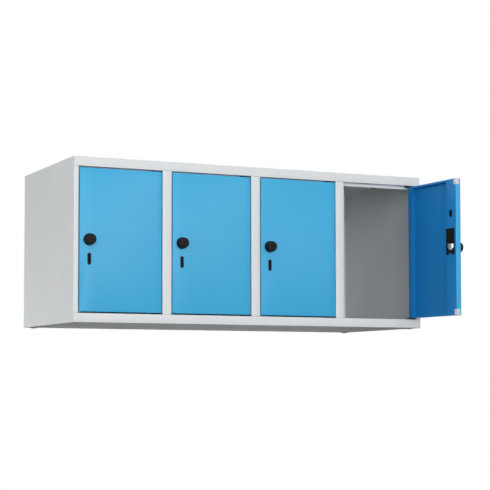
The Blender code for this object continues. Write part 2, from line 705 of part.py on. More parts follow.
def marker(name, place, parent=None):
    """An empty on a joint's axis."""
    empty = bpy.data.objects.new(name, None)
    locker.objects.link(empty)
    empty.parent = parent
    empty.matrix_local = place
    return empty


def make_doors():
    """Each door with its hinges, lock and buffers, on its own hinge axis."""
    pan = make_door_pan()
    hinge_bottom = make_hinge()
    door_middle = (DOOR_BOTTOM + DOOR_TOP) / 2
    hinge_top = mirrored(hinge_bottom, door_middle)
    rosette, knob = make_rosette(), make_knob()
    slot_plate, case, bolt = make_slot_plate(), make_lock_case(), make_bolt()
    buffer_top = make_buffer()
    buffer_bottom = mirrored(buffer_top, door_middle)
    outward = Matrix.Rotation(math.radians(90), 4, "X")
    knob_place = Matrix.Translation((LOCK_X, DOOR_FRONT, LOCK_HEIGHT)) @ outward

    for number in range(1, BAYS + 1):
        pivot_x = bay_left(number) - HALF_STILE - DOOR_SIDE_GAP - PIVOT_FROM_EDGE
        pivot = Matrix.Translation((pivot_x, FRONT + PIVOT_FROM_FRONT, 0))
        angle = OPEN_ANGLE if number == BAYS else 0
        swing = marker(f"door_axis_{number}", pivot @ Matrix.Rotation(angle, 4, "Z"))
        add_part(f"hinge_top_{number}", hinge_top, BLACK_PLASTIC, placed=pivot)
        add_part(f"hinge_bottom_{number}", hinge_bottom, BLACK_PLASTIC, placed=pivot)
        add_part(f"door_{number}", pan, BLUE_PAINT, swing)
        add_part(f"lock_case_{number}", case, BLACK_PLASTIC, swing)
        add_part(f"coin_slot_{number}", slot_plate, BLACK_PLASTIC, swing)
        add_part(f"buffer_top_{number}", buffer_top, GREY_PLASTIC, swing)
        add_part(f"buffer_bottom_{number}", buffer_bottom, GREY_PLASTIC, swing)
        add_part(f"rosette_{number}", rosette, BLACK_PLASTIC, swing, knob_place)
        add_part(f"knob_{number}", knob, BLACK_PLASTIC, swing, knob_place)
        add_part(f"bolt_{number}", bolt, ZINC, swing)
    for scratch in (pan, hinge_bottom, hinge_top, rosette, knob, slot_plate, case, bolt,
                    buffer_top, buffer_bottom):
        bpy.data.objects.remove(scratch, do_unlink=True)


make_roof()
make_base()
make_back()
make_sides()
make_stiles_and_partitions()
make_feet()
make_plug()
make_doors()
print(len([part for part in locker.objects if part.type == "MESH"]), "pieces")
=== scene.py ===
# %% [markdown]
# # A coin operated locker
# Four sheet steel compartments in a row, with blue doors and coin locks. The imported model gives
# every panel and every joint at its real size. This script gives each surface its finish, and
# models again, more finely, the small pieces that the eye goes to: knobs, rosettes and coin slot
# plates. All lengths are in metres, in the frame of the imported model.

# %% Load the fixed frame
import json
import math

import bmesh
import bpy
from mathutils import Matrix, Vector


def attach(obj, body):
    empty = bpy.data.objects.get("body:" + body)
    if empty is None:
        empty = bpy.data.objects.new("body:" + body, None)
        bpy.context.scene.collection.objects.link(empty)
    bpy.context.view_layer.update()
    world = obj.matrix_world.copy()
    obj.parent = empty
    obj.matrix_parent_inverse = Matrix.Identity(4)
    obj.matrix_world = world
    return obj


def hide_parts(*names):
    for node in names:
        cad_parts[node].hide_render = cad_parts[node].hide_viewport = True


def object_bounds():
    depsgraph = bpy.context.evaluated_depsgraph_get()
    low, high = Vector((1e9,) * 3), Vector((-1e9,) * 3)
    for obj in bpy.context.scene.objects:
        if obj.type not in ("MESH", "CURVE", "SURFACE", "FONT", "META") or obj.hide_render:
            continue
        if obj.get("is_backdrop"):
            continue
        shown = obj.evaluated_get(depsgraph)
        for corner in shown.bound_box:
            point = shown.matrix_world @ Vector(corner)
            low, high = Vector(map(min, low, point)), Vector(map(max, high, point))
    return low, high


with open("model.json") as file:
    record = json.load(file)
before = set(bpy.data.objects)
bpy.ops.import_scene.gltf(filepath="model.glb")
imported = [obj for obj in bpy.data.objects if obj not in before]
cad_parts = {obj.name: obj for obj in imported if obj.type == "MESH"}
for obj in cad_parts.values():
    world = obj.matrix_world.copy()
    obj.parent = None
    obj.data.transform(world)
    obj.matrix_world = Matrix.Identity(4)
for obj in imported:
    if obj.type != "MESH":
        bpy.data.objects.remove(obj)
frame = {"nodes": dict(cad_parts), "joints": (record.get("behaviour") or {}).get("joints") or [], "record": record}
CAD_LOW, CAD_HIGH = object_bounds()
MM = 0.001
print("packed model:", [round(side / MM) for side in CAD_HIGH - CAD_LOW], "mm")

# %% [markdown]
# ## Places that everything else is worked out from
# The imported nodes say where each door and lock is. Places typed in a second time would part from
# the model at its first change, so they are read from it instead. The joint that a knob turns on
# gives a point and a direction, and with them each lock gets a frame of its own: along the door to
# its hinge, up, and out of the door's front. In that frame the open door is like the shut ones.

# %% Read the doors' places from the frame
DOORS = (1, 2, 3, 4)
UP = Vector((0, 0, 1))
joint_of = {joint["name"]: joint for joint in frame["joints"]}


def lock_frame(number):
    """The matrix of a lock on its door's front: x to the hinge, y up, z out of the door."""
    joint = joint_of[f"knob_turn_{number}"]
    outward = -Vector(joint["axis"])
    axes = Matrix((UP.cross(outward), UP, outward)).transposed().to_4x4()
    return Matrix.Translation(joint["pos_m"]) @ axes


def local_box(name, number):
    """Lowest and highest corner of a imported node, in its door's lock frame."""
    node = frame["nodes"][name]
    place = lock_frame(number).inverted() @ node.matrix_world
    points = [place @ point.co for point in node.data.vertices]
    return (Vector([min(point[axis] for point in points) for axis in range(3)]),
            Vector([max(point[axis] for point in points) for axis in range(3)]))


for name in ("door_1", "knob_1", "bolt_1"):
    low, high = [[round(value / MM, 1) for value in corner] for corner in local_box(name, 1)]
    print(name, "from", low, "to", high, "mm")

# %% [markdown]
# ## Colours and nodes
# A colour is easiest to read as the sRGB hex code that a paint chart or a picture gives. Shaders
# work in linear light, so one function turns the code into linear red, green and blue. A second
# small function adds any node with its settings and its links, which keeps each material short.

# %% Helpers for materials
def linear(code):
    """Linear red, green, blue and alpha from an sRGB hex code such as "d7dada"."""
    parts = [int(code[start:start + 2], 16) / 255 for start in (0, 2, 4)]
    return (*[part / 12.92 if part <= 0.04045 else ((part + 0.055) / 1.055) ** 2.4
              for part in parts], 1.0)


def add_node(tree, kind, settings=None, links=None):
    """Add a node. Settings are properties or input sockets, links are input sockets and sources."""
    made = tree.nodes.new(kind)
    for name, value in (settings or {}).items():
        if isinstance(name, str) and hasattr(made, name):
            setattr(made, name, value)
        else:
            made.inputs[name].default_value = value
    for name, source in (links or {}).items():
        tree.links.new(source, made.inputs[name])
    return made


def new_material(name, settings):
    """A material with a Principled shader whose constant inputs are set on its own sockets."""
    made = bpy.data.materials.new(name)
    made.use_nodes = True
    tree = made.node_tree
    shader = tree.nodes["Principled BSDF"]
    for socket, value in settings.items():
        shader.inputs[socket].default_value = value
    place = add_node(tree, "ShaderNodeTexCoord")
    return made, tree, shader, place.outputs["Object"]


print("middle grey 808080 is", round(linear("808080")[0], 3), "in linear light")

# %% [markdown]
# ## Powder coat
# The steel is sprayed with dry paint powder and baked. The powder melts into a tough skin with a
# faint orange peel, so its gloss is broken up softly. Real peel is about 1 mm across. That is too
# fine to show from where the camera stands, so it is drawn 5 mm across and very shallow. A slow
# drift in shade, a few per cent over a hand's width, keeps the big panels from looking printed.
# One plain colour would do from far away, but it would look like plastic film from close by.

# %% Powder coat for the body and the doors
PEEL_SIZE, PEEL_HEIGHT = 5 * MM, 0.12 * MM
DRIFT_SIZE = 160 * MM
COAT_ROUGHNESS = {"To Min": 0.36, "To Max": 0.50}


def powder_coat(name, code, deeper_code):
    """Baked powder paint: semi-matt, faint orange peel, a slow drift between two close shades."""
    made, tree, shader, place = new_material(name, {"IOR": 1.5, "Specular IOR Level": 0.35})
    peel = add_node(tree, "ShaderNodeTexNoise", {"Scale": 1 / PEEL_SIZE, "Detail": 2.0},
                    {"Vector": place})
    drift = add_node(tree, "ShaderNodeTexNoise", {"Scale": 1 / DRIFT_SIZE, "Detail": 3.0},
                     {"Vector": place})
    shade = add_node(tree, "ShaderNodeMix",
                     {"data_type": "RGBA", 6: linear(code), 7: linear(deeper_code)},
                     {0: drift.outputs["Fac"]})
    gloss = add_node(tree, "ShaderNodeMapRange", COAT_ROUGHNESS, {"Value": peel.outputs["Fac"]})
    relief = add_node(tree, "ShaderNodeBump", {"Strength": 0.25, "Distance": PEEL_HEIGHT},
                      {"Height": peel.outputs["Fac"]})
    tree.links.new(shade.outputs[2], shader.inputs["Base Color"])
    tree.links.new(gloss.outputs["Result"], shader.inputs["Roughness"])
    tree.links.new(relief.outputs["Normal"], shader.inputs["Normal"])
    return made


GREY_COAT = powder_coat("light_grey_powder_coat", "dddfdf", "d5d7d8")
BLUE_COAT = powder_coat("sky_blue_powder_coat", "3caad8", "36a5d4")
print("powder coats:", GREY_COAT.name, BLUE_COAT.name)

# %% [markdown]
# ## Moulded plastics
# Knobs, rosettes, lock cases, slot plates and hinge blocks are black glass-filled nylon, moulded in
# a spark eroded tool, which leaves a fine even grain and little sheen. Buffers and feet are pale
# polyethylene, softer and slightly waxy. Real grain is about a tenth of a millimetre across. It is
# drawn 1.5 mm across, so that it still shows when the camera comes close.

# %% Black and pale plastics
GRAIN_SIZE = 1.5 * MM
GRAIN_SHADE = 0.15


def grained_finish(name, code, roughness, sheen, depth):
    """A dull surface of one colour with a fine even grain, which breaks up its sheen."""
    made, tree, shader, place = new_material(
        name, {"Roughness": roughness, "IOR": 1.5, "Specular IOR Level": sheen})
    grain = add_node(tree, "ShaderNodeTexNoise", {"Scale": 1 / GRAIN_SIZE, "Detail": 2.0},
                     {"Vector": place})
    shade = add_node(tree, "ShaderNodeMix", {"data_type": "RGBA", "blend_type": "MULTIPLY",
                                             0: GRAIN_SHADE, 6: linear(code)},
                     {7: grain.outputs["Color"]})
    relief = add_node(tree, "ShaderNodeBump", {"Strength": 0.3, "Distance": depth},
                      {"Height": grain.outputs["Fac"]})
    tree.links.new(shade.outputs[2], shader.inputs["Base Color"])
    tree.links.new(relief.outputs["Normal"], shader.inputs["Normal"])
    return made


BLACK_NYLON = grained_finish("black_glass_filled_nylon", "0f0e0e",
                             roughness=0.42, sheen=0.12, depth=0.05 * MM)
PALE_PLASTIC = grained_finish("pale_grey_polyethylene", "d6d6db",
                              roughness=0.5, sheen=0.5, depth=0.03 * MM)
print("plastics:", BLACK_NYLON.name, PALE_PLASTIC.name)

# %% [markdown]
# ## Die-cast zinc
# The bolt is zinc, cast in a steel die and tumbled with stones. That leaves it bright, with clouded
# patches a few millimetres wide where the stones have dulled it more. The same noise makes the
# patches darker and rougher together, as they are on a real casting.

# %% Tumbled zinc
CLOUD_SIZE = 6 * MM
ZINC_ROUGHNESS = {"To Min": 0.2, "To Max": 0.42}


def cast_zinc(name, code, clouded_code):
    """Tumbled zinc casting: metal, with clouded patches of gloss."""
    made, tree, shader, place = new_material(name, {"Metallic": 1.0})
    cloud = add_node(tree, "ShaderNodeTexNoise", {"Scale": 1 / CLOUD_SIZE, "Detail": 4.0},
                     {"Vector": place})
    shade = add_node(tree, "ShaderNodeMix",
                     {"data_type": "RGBA", 6: linear(code), 7: linear(clouded_code)},
                     {0: cloud.outputs["Fac"]})
    gloss = add_node(tree, "ShaderNodeMapRange", ZINC_ROUGHNESS, {"Value": cloud.outputs["Fac"]})
    tree.links.new(shade.outputs[2], shader.inputs["Base Color"])
    tree.links.new(gloss.outputs["Result"], shader.inputs["Roughness"])
    return made


ZINC = cast_zinc("tumbled_zinc_casting", "e4e6ea", "c3c7ce")
print("metal:", ZINC.name)

# %% [markdown]
# ## One finish for each material slot
# The record names five material slots. Each gets the finish that the real maker would order: two
# powder coats, two moulded plastics and a tumbled casting. A piece takes its finish from the slot
# of the node that it stands for, so a change of finish is a change in one place.

# %% Finishes by the record's material slots
FINISH = {"grey_paint": GREY_COAT, "blue_paint": BLUE_COAT, "black_plastic": BLACK_NYLON,
          "grey_plastic": PALE_PLASTIC, "zinc": ZINC}
slot_of = {part["node"]: part["material_slot"] for part in frame["record"]["subparts"]}
body_of = {name: body for body, names in frame["record"]["behaviour"]["bodies"].items()
           for name in names}
print(len(slot_of), "nodes with", len(FINISH), "finishes")

# %% [markdown]
# ## A finished piece
# Every piece is made in the same way: its shape becomes an object that rides on its body, takes the
# finish of its slot and stands for its nodes. Shading is smooth except over edges sharper than a
# set angle. Those edges get a narrow rounding, because no real edge is a knife edge, and it is the
# rounding that catches the light. A live bevel does it and keeps the mesh under it simple.

# %% Helpers for pieces
SHARP = math.radians(35)


def add_piece(name, shape, body, slot, stands_for=(), place=None, sharp=SHARP):
    """Make an object from a bmesh, put it on its body and hide the nodes that it stands for."""
    if place is not None:
        bmesh.ops.transform(shape, matrix=place, verts=shape.verts)
    mesh = bpy.data.meshes.new(name)
    shape.to_mesh(mesh)
    shape.free()
    mesh.shade_smooth()
    mesh.set_sharp_from_angle(angle=sharp)
    mesh.materials.append(FINISH[slot])
    piece = bpy.data.objects.new(name, mesh)
    bpy.context.scene.collection.objects.link(piece)
    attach(piece, body)
    if stands_for:
        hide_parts(*stands_for)
    return piece


def round_edges(piece, width, segments=2, sharp=SHARP):
    """Round the piece's sharp edges with a live bevel."""
    bevel = piece.modifiers.new("rounded_edges", "BEVEL")
    bevel.width = width
    bevel.segments = segments
    bevel.limit_method = "ANGLE"
    bevel.angle_limit = sharp
    bevel.harden_normals = True
    return piece


print("edges sharper than", round(math.degrees(SHARP)), "degrees are rounded")

# %% [markdown]
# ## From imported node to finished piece
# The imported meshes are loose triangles, so smooth shading and a bevel would do nothing good on
# them. A copy with its corners merged and its flat triangles joined again has the folds and cut
# edges of the real sheet as its only edges, and can take both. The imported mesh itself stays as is.

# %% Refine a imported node
FLAT = math.radians(0.5)
WELD = 0.01 * MM


def merged_copy(name):
    """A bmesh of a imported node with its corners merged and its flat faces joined."""
    node = frame["nodes"][name]
    shape = bmesh.new()
    shape.from_mesh(node.data)
    bmesh.ops.transform(shape, matrix=node.matrix_world, verts=shape.verts)
    bmesh.ops.remove_doubles(shape, verts=shape.verts, dist=WELD)
    bmesh.ops.dissolve_limit(shape, angle_limit=FLAT, verts=shape.verts, edges=shape.edges)
    return shape


def refined(name, suffix, width, sharp=SHARP):
    """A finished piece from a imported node, with rounded edges."""
    piece = add_piece(f"{name}_{suffix}", merged_copy(name), body_of[name], slot_of[name], [name],
                      sharp=sharp)
    return round_edges(piece, width, sharp=sharp)


sample = merged_copy("door_1")
triangles = len(frame["nodes"]["door_1"].data.polygons)
print("door_1:", triangles, "triangles become", len(sample.faces), "faces")
sample.free()

# %% [markdown]
# ## Body panels
# Roof with header, base with sill, back, two sides, three stiles and three partitions are folded
# from 1 mm sheet and spot welded. Cut edges of sheet are never knife sharp: the guillotine rolls
# one side over and the paint rounds the rest, so each gets a rounding of a quarter of a millimetre.

# %% Body panels
SHEET_ROUND = 0.25 * MM
PANELS = [name for name in frame["nodes"] if slot_of[name] == "grey_paint"]
for name in PANELS:
    panel = refined(name, "sheet", SHEET_ROUND)
    print(name, len(frame["nodes"][name].data.polygons), "->", len(panel.data.polygons), "faces")

# %% [markdown]
# ## The coats and painted shade of a door
# Each door is one sheet folded into a pan. Its back and the folds round it carry a deeper blue
# than the front, as the picture shows, so the faces that look inwards take a second coat. The
# level rims at top and bottom take the same deeper blue as painted shade, for the shadow in the
# gaps round a shut door. Inside the box sections the walls are painted near black as shade, where
# little light gets in. On the back of the front sheet this painted shade reaches a little past the
# lock side's lip, which is what shows through the oblong hole there and makes it look black. One
# function sorts the faces by their place and direction, so all four doors are coated alike.

# %% Coats of a door
# The deeper blue is the inner coat, and painted shade on the level rims.
DEEP_COAT_AND_RIM_SHADE = powder_coat("deep_blue_coat_and_rim_shade", "0b7cbf", "0a76b8")
# Near black painted shade for the unlit inside of the box sections.
HOLLOW_SHADE_BLACK = grained_finish("near_black_hollow_shade", "070709",
                            roughness=0.6, sheen=0.06, depth=0.02 * MM)
SKIN = 1 * MM
OUTSIDE, INNER_OR_RIM_SHADE, HOLLOW = range(3)
LOCK_BOX, HINGE_BOX = 52 * MM, 20 * MM
# How far the painted shade reaches along the back of the front sheet, past the lock side's lip.
HOLLOW_SHADE_REACH = 60 * MM
FACING = 0.5
SQUARE_CM = 1e-4


def door_coat(face, to_lock, low, high):
    """Which coat or painted shade a door's face takes, from where it lies and looks."""
    normal = (to_lock.to_3x3() @ face.normal).normalized()
    middle = to_lock @ face.calc_center_median()
    upright_rim = min(middle.x - low.x, high.x - middle.x)
    level_rim = min(middle.y - low.y, high.y - middle.y)
    depth = min(middle.z - low.z, high.z - middle.z)
    if upright_rim < SKIN / 2 or (depth < SKIN / 2 and normal.z > FACING):
        return OUTSIDE
    # The level rims take the deeper blue as painted shade for the gaps round a shut door.
    if level_rim < SKIN / 2:
        return INNER_OR_RIM_SHADE
    on_front_sheet = normal.z < -FACING and high.z - middle.z < 2 * SKIN
    reach = HOLLOW_SHADE_REACH if on_front_sheet else LOCK_BOX
    in_box = middle.x < low.x + reach - SKIN / 2 or middle.x > high.x - HINGE_BOX + SKIN / 2
    # Faces inside the box sections take the near black painted shade.
    if in_box and depth > SKIN / 2:
        return HOLLOW
    return INNER_OR_RIM_SHADE


print("door coats:", BLUE_COAT.name, DEEP_COAT_AND_RIM_SHADE.name, HOLLOW_SHADE_BLACK.name)

# %% [markdown]
# ## Door pans
# A face can take one coat or painted shade only, and the back of the front sheet is one face from
# end to end. It is cut first where the box sections and their painted shade end, with planes square
# to the door, and then each face is sorted. The cuts lie in flat sheet, so they don't show and the
# bevel leaves them alone.

# %% Door pans
for number in DOORS:
    name = f"door_{number}"
    shape = merged_copy(name)
    to_lock = lock_frame(number).inverted()
    low, high = local_box(name, number)
    for box_end in (low.x + LOCK_BOX, low.x + HOLLOW_SHADE_REACH, high.x - HINGE_BOX + SKIN):
        bmesh.ops.bisect_plane(shape, geom=shape.verts[:] + shape.edges[:] + shape.faces[:],
                               plane_co=lock_frame(number) @ Vector((box_end, 0, 0)),
                               plane_no=lock_frame(number).col[0].to_3d())
    for face in shape.faces:
        face.material_index = door_coat(face, to_lock, low, high)
    areas = [sum(face.calc_area() for face in shape.faces if face.material_index == coat)
             for coat in (OUTSIDE, INNER_OR_RIM_SHADE, HOLLOW)]
    door = add_piece(f"door_{number}_pan", shape, body_of[name], "blue_paint", [name])
    # Second slot: the deeper blue, which is painted shade on the level rims.
    door.data.materials.append(DEEP_COAT_AND_RIM_SHADE)
    # Third slot: the near black painted shade inside the box sections.
    door.data.materials.append(HOLLOW_SHADE_BLACK)
    round_edges(door, SHEET_ROUND)
    print(name, [round(area / SQUARE_CM) for area in areas], "cm2 outside, inside and hollow")

# %% [markdown]
# ## Small mouldings
# Hinge blocks, lock cases, buffers, feet and the plug under the roof could be modelled again, but
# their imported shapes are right. They are kept and get the generous edge rounding of injection
# moulded parts, which lets the plastic flow round the corners of its tool.

# %% Small mouldings
MOULDED_ROUND = 0.5 * MM
MOULDED_NAMES = ("hinge", "lock_case", "buffer", "foot", "roof_plug")
MOULDINGS = [name for name in frame["nodes"] if name.startswith(MOULDED_NAMES)]
for name in MOULDINGS:
    refined(name, "moulding", MOULDED_ROUND)
print("small mouldings:", len(MOULDINGS))

# %% [markdown]
# ## Round pieces
# Knob and rosette are moulded in tools that were turned on a lathe, so they are round all over.
# Stacked cylinders could make them, but a full turn of one outline gives every groove and rounding
# at once. The outline is a list of radius and height pairs, with its round stretches as arcs.

# %% Turned pieces
TURN_STEPS = 64


def arc(centre, radius, start, end, steps):
    """Points on an arc in the outline's plane, angles in degrees."""
    turns = [math.radians(start + (end - start) * step / steps) for step in range(steps + 1)]
    return [(centre[0] + radius * math.cos(turn), centre[1] + radius * math.sin(turn))
            for turn in turns]


def turned(outline):
    """A bmesh turned about z from radius and height pairs."""
    shape = bmesh.new()
    points = [shape.verts.new((radius, 0, height)) for radius, height in outline]
    for point, following in zip(points, points[1:]):
        shape.edges.new((point, following))
    bmesh.ops.spin(shape, geom=shape.verts[:] + shape.edges[:], cent=(0, 0, 0), axis=(0, 0, 1),
                   angle=math.tau, steps=TURN_STEPS, use_merge=True)
    bmesh.ops.remove_doubles(shape, verts=shape.verts, dist=WELD)
    bmesh.ops.recalc_face_normals(shape, faces=shape.faces)
    return shape


print("a turned piece has", TURN_STEPS, "sides, one every", 360 / TURN_STEPS, "degrees")

# %% [markdown]
# ## Plates with a slot
# The lock plug's face has a key slit, and the coin plate a coin slot. Both faces are the band
# between an outer ring and an oblong one, so one function bridges two rings and draws them down
# into the plate's outside and the slot's walls. A boolean cut would leave long thin faces instead.

# %% Slotted plates
RING_STEPS = 32


def oblong_loop(shape, width, height, level):
    """A ring of edges with round ends, square to z. A circle where width and height are equal."""
    ring = bmesh.ops.create_circle(shape, segments=RING_STEPS, radius=width / 2)["verts"]
    for point in ring:
        point.co.y += math.copysign((height - width) / 2, point.co.y)
        point.co.z = level
    return list({edge for point in ring for edge in point.link_edges})


def draw_down(shape, edges, depth, closed):
    """Extrude a ring of edges down z, and close its end if asked."""
    made = bmesh.ops.extrude_edge_only(shape, edges=edges)["geom"]
    ends = [part for part in made if isinstance(part, bmesh.types.BMVert)]
    bmesh.ops.translate(shape, vec=(0, 0, -depth), verts=ends)
    if closed:
        rim = [part for part in made if isinstance(part, bmesh.types.BMEdge)]
        rim = [edge for edge in rim if all(end in ends for end in edge.verts)]
        bmesh.ops.contextual_create(shape, geom=rim)


def slotted_plate(outer, slot, level, thickness, slot_depth, closed):
    """A plate with its face at a level, from the width and height of its outline and its slot."""
    shape = bmesh.new()
    outer_ring = oblong_loop(shape, *outer, level)
    slot_ring = oblong_loop(shape, *slot, level)
    bmesh.ops.bridge_loops(shape, edges=outer_ring + slot_ring)
    draw_down(shape, outer_ring, thickness, closed=False)
    draw_down(shape, slot_ring, slot_depth, closed=closed)
    bmesh.ops.recalc_face_normals(shape, faces=shape.faces)
    return shape


print("a slotted plate has", RING_STEPS, "points on each ring")

# %% [markdown]
# ## Rosette
# The rosette covers the edge of the hole in the door. Its radius and thickness are read from the
# packed rosette, and a shallow ring groove and a rounded rim are added here. From where the camera
# stands both are finer than a pixel, so they are there for whoever looks from close by.

# %% Outline of a rosette
ROSETTE_BORE = 6 * MM
ROSETTE_ROUND = 1.5 * MM
RING_INSET, RING_REACH, RING_DEPTH = 3.2 * MM, 0.8 * MM, 0.5 * MM


def rosette_outline(radius, back, front):
    """Bore, front face with its ring groove, rounded rim and back."""
    ring = radius - RING_INSET
    return [(ROSETTE_BORE, back), (ROSETTE_BORE, front), (ring - RING_REACH, front),
            (ring, front - RING_DEPTH), (ring + RING_REACH, front),
            *arc((radius - ROSETTE_ROUND, front - ROSETTE_ROUND), ROSETTE_ROUND, 90, 0, steps=6),
            (radius, back), (ROSETTE_BORE, back)]


low, high = local_box("rosette_1", 1)
print("rosette radius", round(high.x / MM, 1), "mm, front", round(high.z / MM, 1), "mm out")

# %% [markdown]
# ## Knob
# The knob is turned by hand and locked with a key, so it has a bore in its face for a round lock
# plug. It stands on the rosette with a running gap, its rim is soft to the hand, and a groove at
# its waist gives the fingers a hold. Radius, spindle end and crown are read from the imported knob.

# %% Outline of a knob
RUNNING_GAP = 0.3 * MM
SPINDLE_RADIUS = 4 * MM
PLUG_RADIUS, PLUG_GAP = 7 * MM, 0.6 * MM
BORE_DEPTH = 9 * MM
CHAMFER_WIDTH, CHAMFER_HEIGHT = 0.4 * MM, 0.25 * MM
FACE_DROP, RIM_DROP = 0.65 * MM, 1.3 * MM
SHOULDER_INSET, SHOULDER_RISE = 5 * MM, 0.6 * MM
KNOB_ROUND = 3.6 * MM
WAIST_HEIGHT, WAIST_STEP = 2.6 * MM, 0.8 * MM


def knob_outline(radius, spindle_end, bottom, crown):
    """Bore for the plug, face, rounded rim, waist groove, underside and spindle."""
    bore, waist = PLUG_RADIUS + PLUG_GAP, bottom + WAIST_HEIGHT
    face, rim = crown - FACE_DROP, crown - RIM_DROP
    return [(0, crown - BORE_DEPTH), (bore, crown - BORE_DEPTH), (bore, face - CHAMFER_HEIGHT),
            (bore + CHAMFER_WIDTH, face), (radius - SHOULDER_INSET, rim + SHOULDER_RISE),
            *arc((radius - KNOB_ROUND, rim - KNOB_ROUND), KNOB_ROUND, 90, 0, steps=8),
            (radius, waist + 3 * WAIST_STEP), (radius - WAIST_STEP, waist + 2 * WAIST_STEP),
            (radius - WAIST_STEP, waist + WAIST_STEP), (radius, waist),
            (radius, bottom + WAIST_STEP), (radius - WAIST_STEP, bottom),
            (SPINDLE_RADIUS, bottom), (SPINDLE_RADIUS, spindle_end), (0, spindle_end)]


low, high = local_box("knob_1", 1)
print("knob radius", round(high.x / MM, 1), "mm, crown", round(high.z / MM, 1), "mm out")

# %% [markdown]
# ## Knobs and rosettes in place
# Each outline is turned about z and then put in its lock's frame. The lock plug is a piece of its
# own that turns with the knob. Its key slit is a real hole and deep, so it stays dark without any
# paint. The plug is a little shorter than its bore, so their ends don't touch.

# %% Knobs and rosettes
KEY_SLIT = (2.8 * MM, 10 * MM)
PLUG_SHORTER = 1 * MM
PLUG_LENGTH = BORE_DEPTH - PLUG_SHORTER
PLUG_ROUND = 0.25 * MM

for number in DOORS:
    place = lock_frame(number)
    low, high = local_box(f"rosette_{number}", number)
    bottom = high.z + RUNNING_GAP
    ring = turned(rosette_outline(high.x, low.z, high.z))
    add_piece(f"rosette_{number}_ring", ring, f"door_leaf_{number}", "black_plastic",
              [f"rosette_{number}"], place)

    low, high = local_box(f"knob_{number}", number)
    cap = turned(knob_outline(high.x, low.z, bottom, high.z))
    add_piece(f"knob_{number}_cap", cap, f"turn_knob_{number}", "black_plastic",
              [f"knob_{number}"], place)
    plug = slotted_plate((2 * PLUG_RADIUS, 2 * PLUG_RADIUS), KEY_SLIT, level=high.z - FACE_DROP,
                         thickness=PLUG_LENGTH, slot_depth=PLUG_LENGTH, closed=True)
    plug = add_piece(f"key_plug_{number}", plug, f"turn_knob_{number}", "black_plastic",
                     place=place)
    round_edges(plug, PLUG_ROUND)
print("knobs and rosettes:", len(DOORS), "with plugs of", round(PLUG_LENGTH / MM, 1), "mm")

# %% [markdown]
# ## Coin slot plates
# A plain oblong plate frames the slot that takes the coin. The same band between two rings makes
# it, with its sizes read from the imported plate. Its slot goes right through the plate, and three
# bevel segments instead of two keep its wide rounded rim smooth.

# %% Coin slot plates
COIN_SLOT = (3.2 * MM, 27 * MM)
for number in DOORS:
    low, high = local_box(f"coin_slot_{number}", number)
    size = high - low
    middle = (low + high) / 2
    plate = slotted_plate((size.x, size.y), COIN_SLOT, level=size.z,
                          thickness=size.z, slot_depth=size.z, closed=False)
    place = lock_frame(number) @ Matrix.Translation((middle.x, middle.y, low.z))
    plate = add_piece(f"coin_slot_{number}_plate", plate, f"door_leaf_{number}", "black_plastic",
                      [f"coin_slot_{number}"], place)
    round_edges(plate, MOULDED_ROUND, segments=3)
print("coin slot plates:", len(DOORS), "of", [round(side / MM, 1) for side in size], "mm")

# %% [markdown]
# ## Bolts
# The bolt's head is a die casting with an uneven six-sided outline and broad sloped facets, so it
# rides over the frame's edge when the door is pushed shut. Tumbling with stones rounds its edges.
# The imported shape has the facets, so it only needs that rounding to catch the light. The facets
# meet at shallow angles, so the limit for what counts as an edge is lower here.

# %% Bolts
TUMBLED_ROUND = 0.3 * MM
FACET_SHARP = math.radians(12)
for number in DOORS:
    bolt = refined(f"bolt_{number}", "casting", TUMBLED_ROUND, FACET_SHARP)
print("bolts:", len(DOORS), "with", len(bolt.data.polygons), "faces each")

# %% [markdown]
# ## The floor's glow
# The locker is shown on a white ground. A floor that is only lit would end in a grey horizon, and
# more light on it would be more light on the locker. So the floor glows a little by itself, and the
# glow rises to white a few metres away, where the floor meets the white sky. In reflections it
# stays low all over, so the folds under the locker don't mirror a white floor.

# %% Glow that fades to white
GLOW_MIRRORED, GLOW_SEEN, GLOW_FAR = 0.38, 0.42, 1.0
FADE_START, FADE_END = 1.2, 4.5


def fading_glow(tree, path):
    """Light from the floor itself: low in reflections, and rising to white far away."""
    place = add_node(tree, "ShaderNodeTexCoord")
    distance = add_node(tree, "ShaderNodeVectorMath", {"operation": "LENGTH"},
                        {0: place.outputs["Object"]})
    fade = add_node(tree, "ShaderNodeMapRange",
                    {"interpolation_type": "SMOOTHSTEP", "From Min": FADE_START,
                     "From Max": FADE_END, "To Min": GLOW_SEEN, "To Max": GLOW_FAR},
                    {"Value": distance.outputs["Value"]})
    strength = add_node(tree, "ShaderNodeMapRange", {"To Min": GLOW_MIRRORED},
                        {"Value": path.outputs["Is Camera Ray"], "To Max": fade.outputs["Result"]})
    return add_node(tree, "ShaderNodeEmission", None, {"Strength": strength.outputs["Result"]})


print("floor glow:", GLOW_SEEN, "to", GLOW_FAR, "from", FADE_START, "to", FADE_END, "m away")

# %% [markdown]
# ## Studio floor
# The camera stands so low that a little of the underside shows. The floor is therefore seen only
# from above, where it is a pale floor that keeps the locker's shadow. To a ray that comes from
# below it isn't there. Light that bounces passes through it too, because a real floor would throw
# far more light on the underside than the picture shows.

# %% Floor material
FLOOR_COLOUR = "e8e8e8"


def seen_or_mirrored(tree, path):
    """A node that gives 1 to the camera and in reflections, and 0 to light that bounces."""
    return add_node(tree, "ShaderNodeMath", {"operation": "MAXIMUM"},
                    {0: path.outputs["Is Camera Ray"], 1: path.outputs["Is Glossy Ray"]})


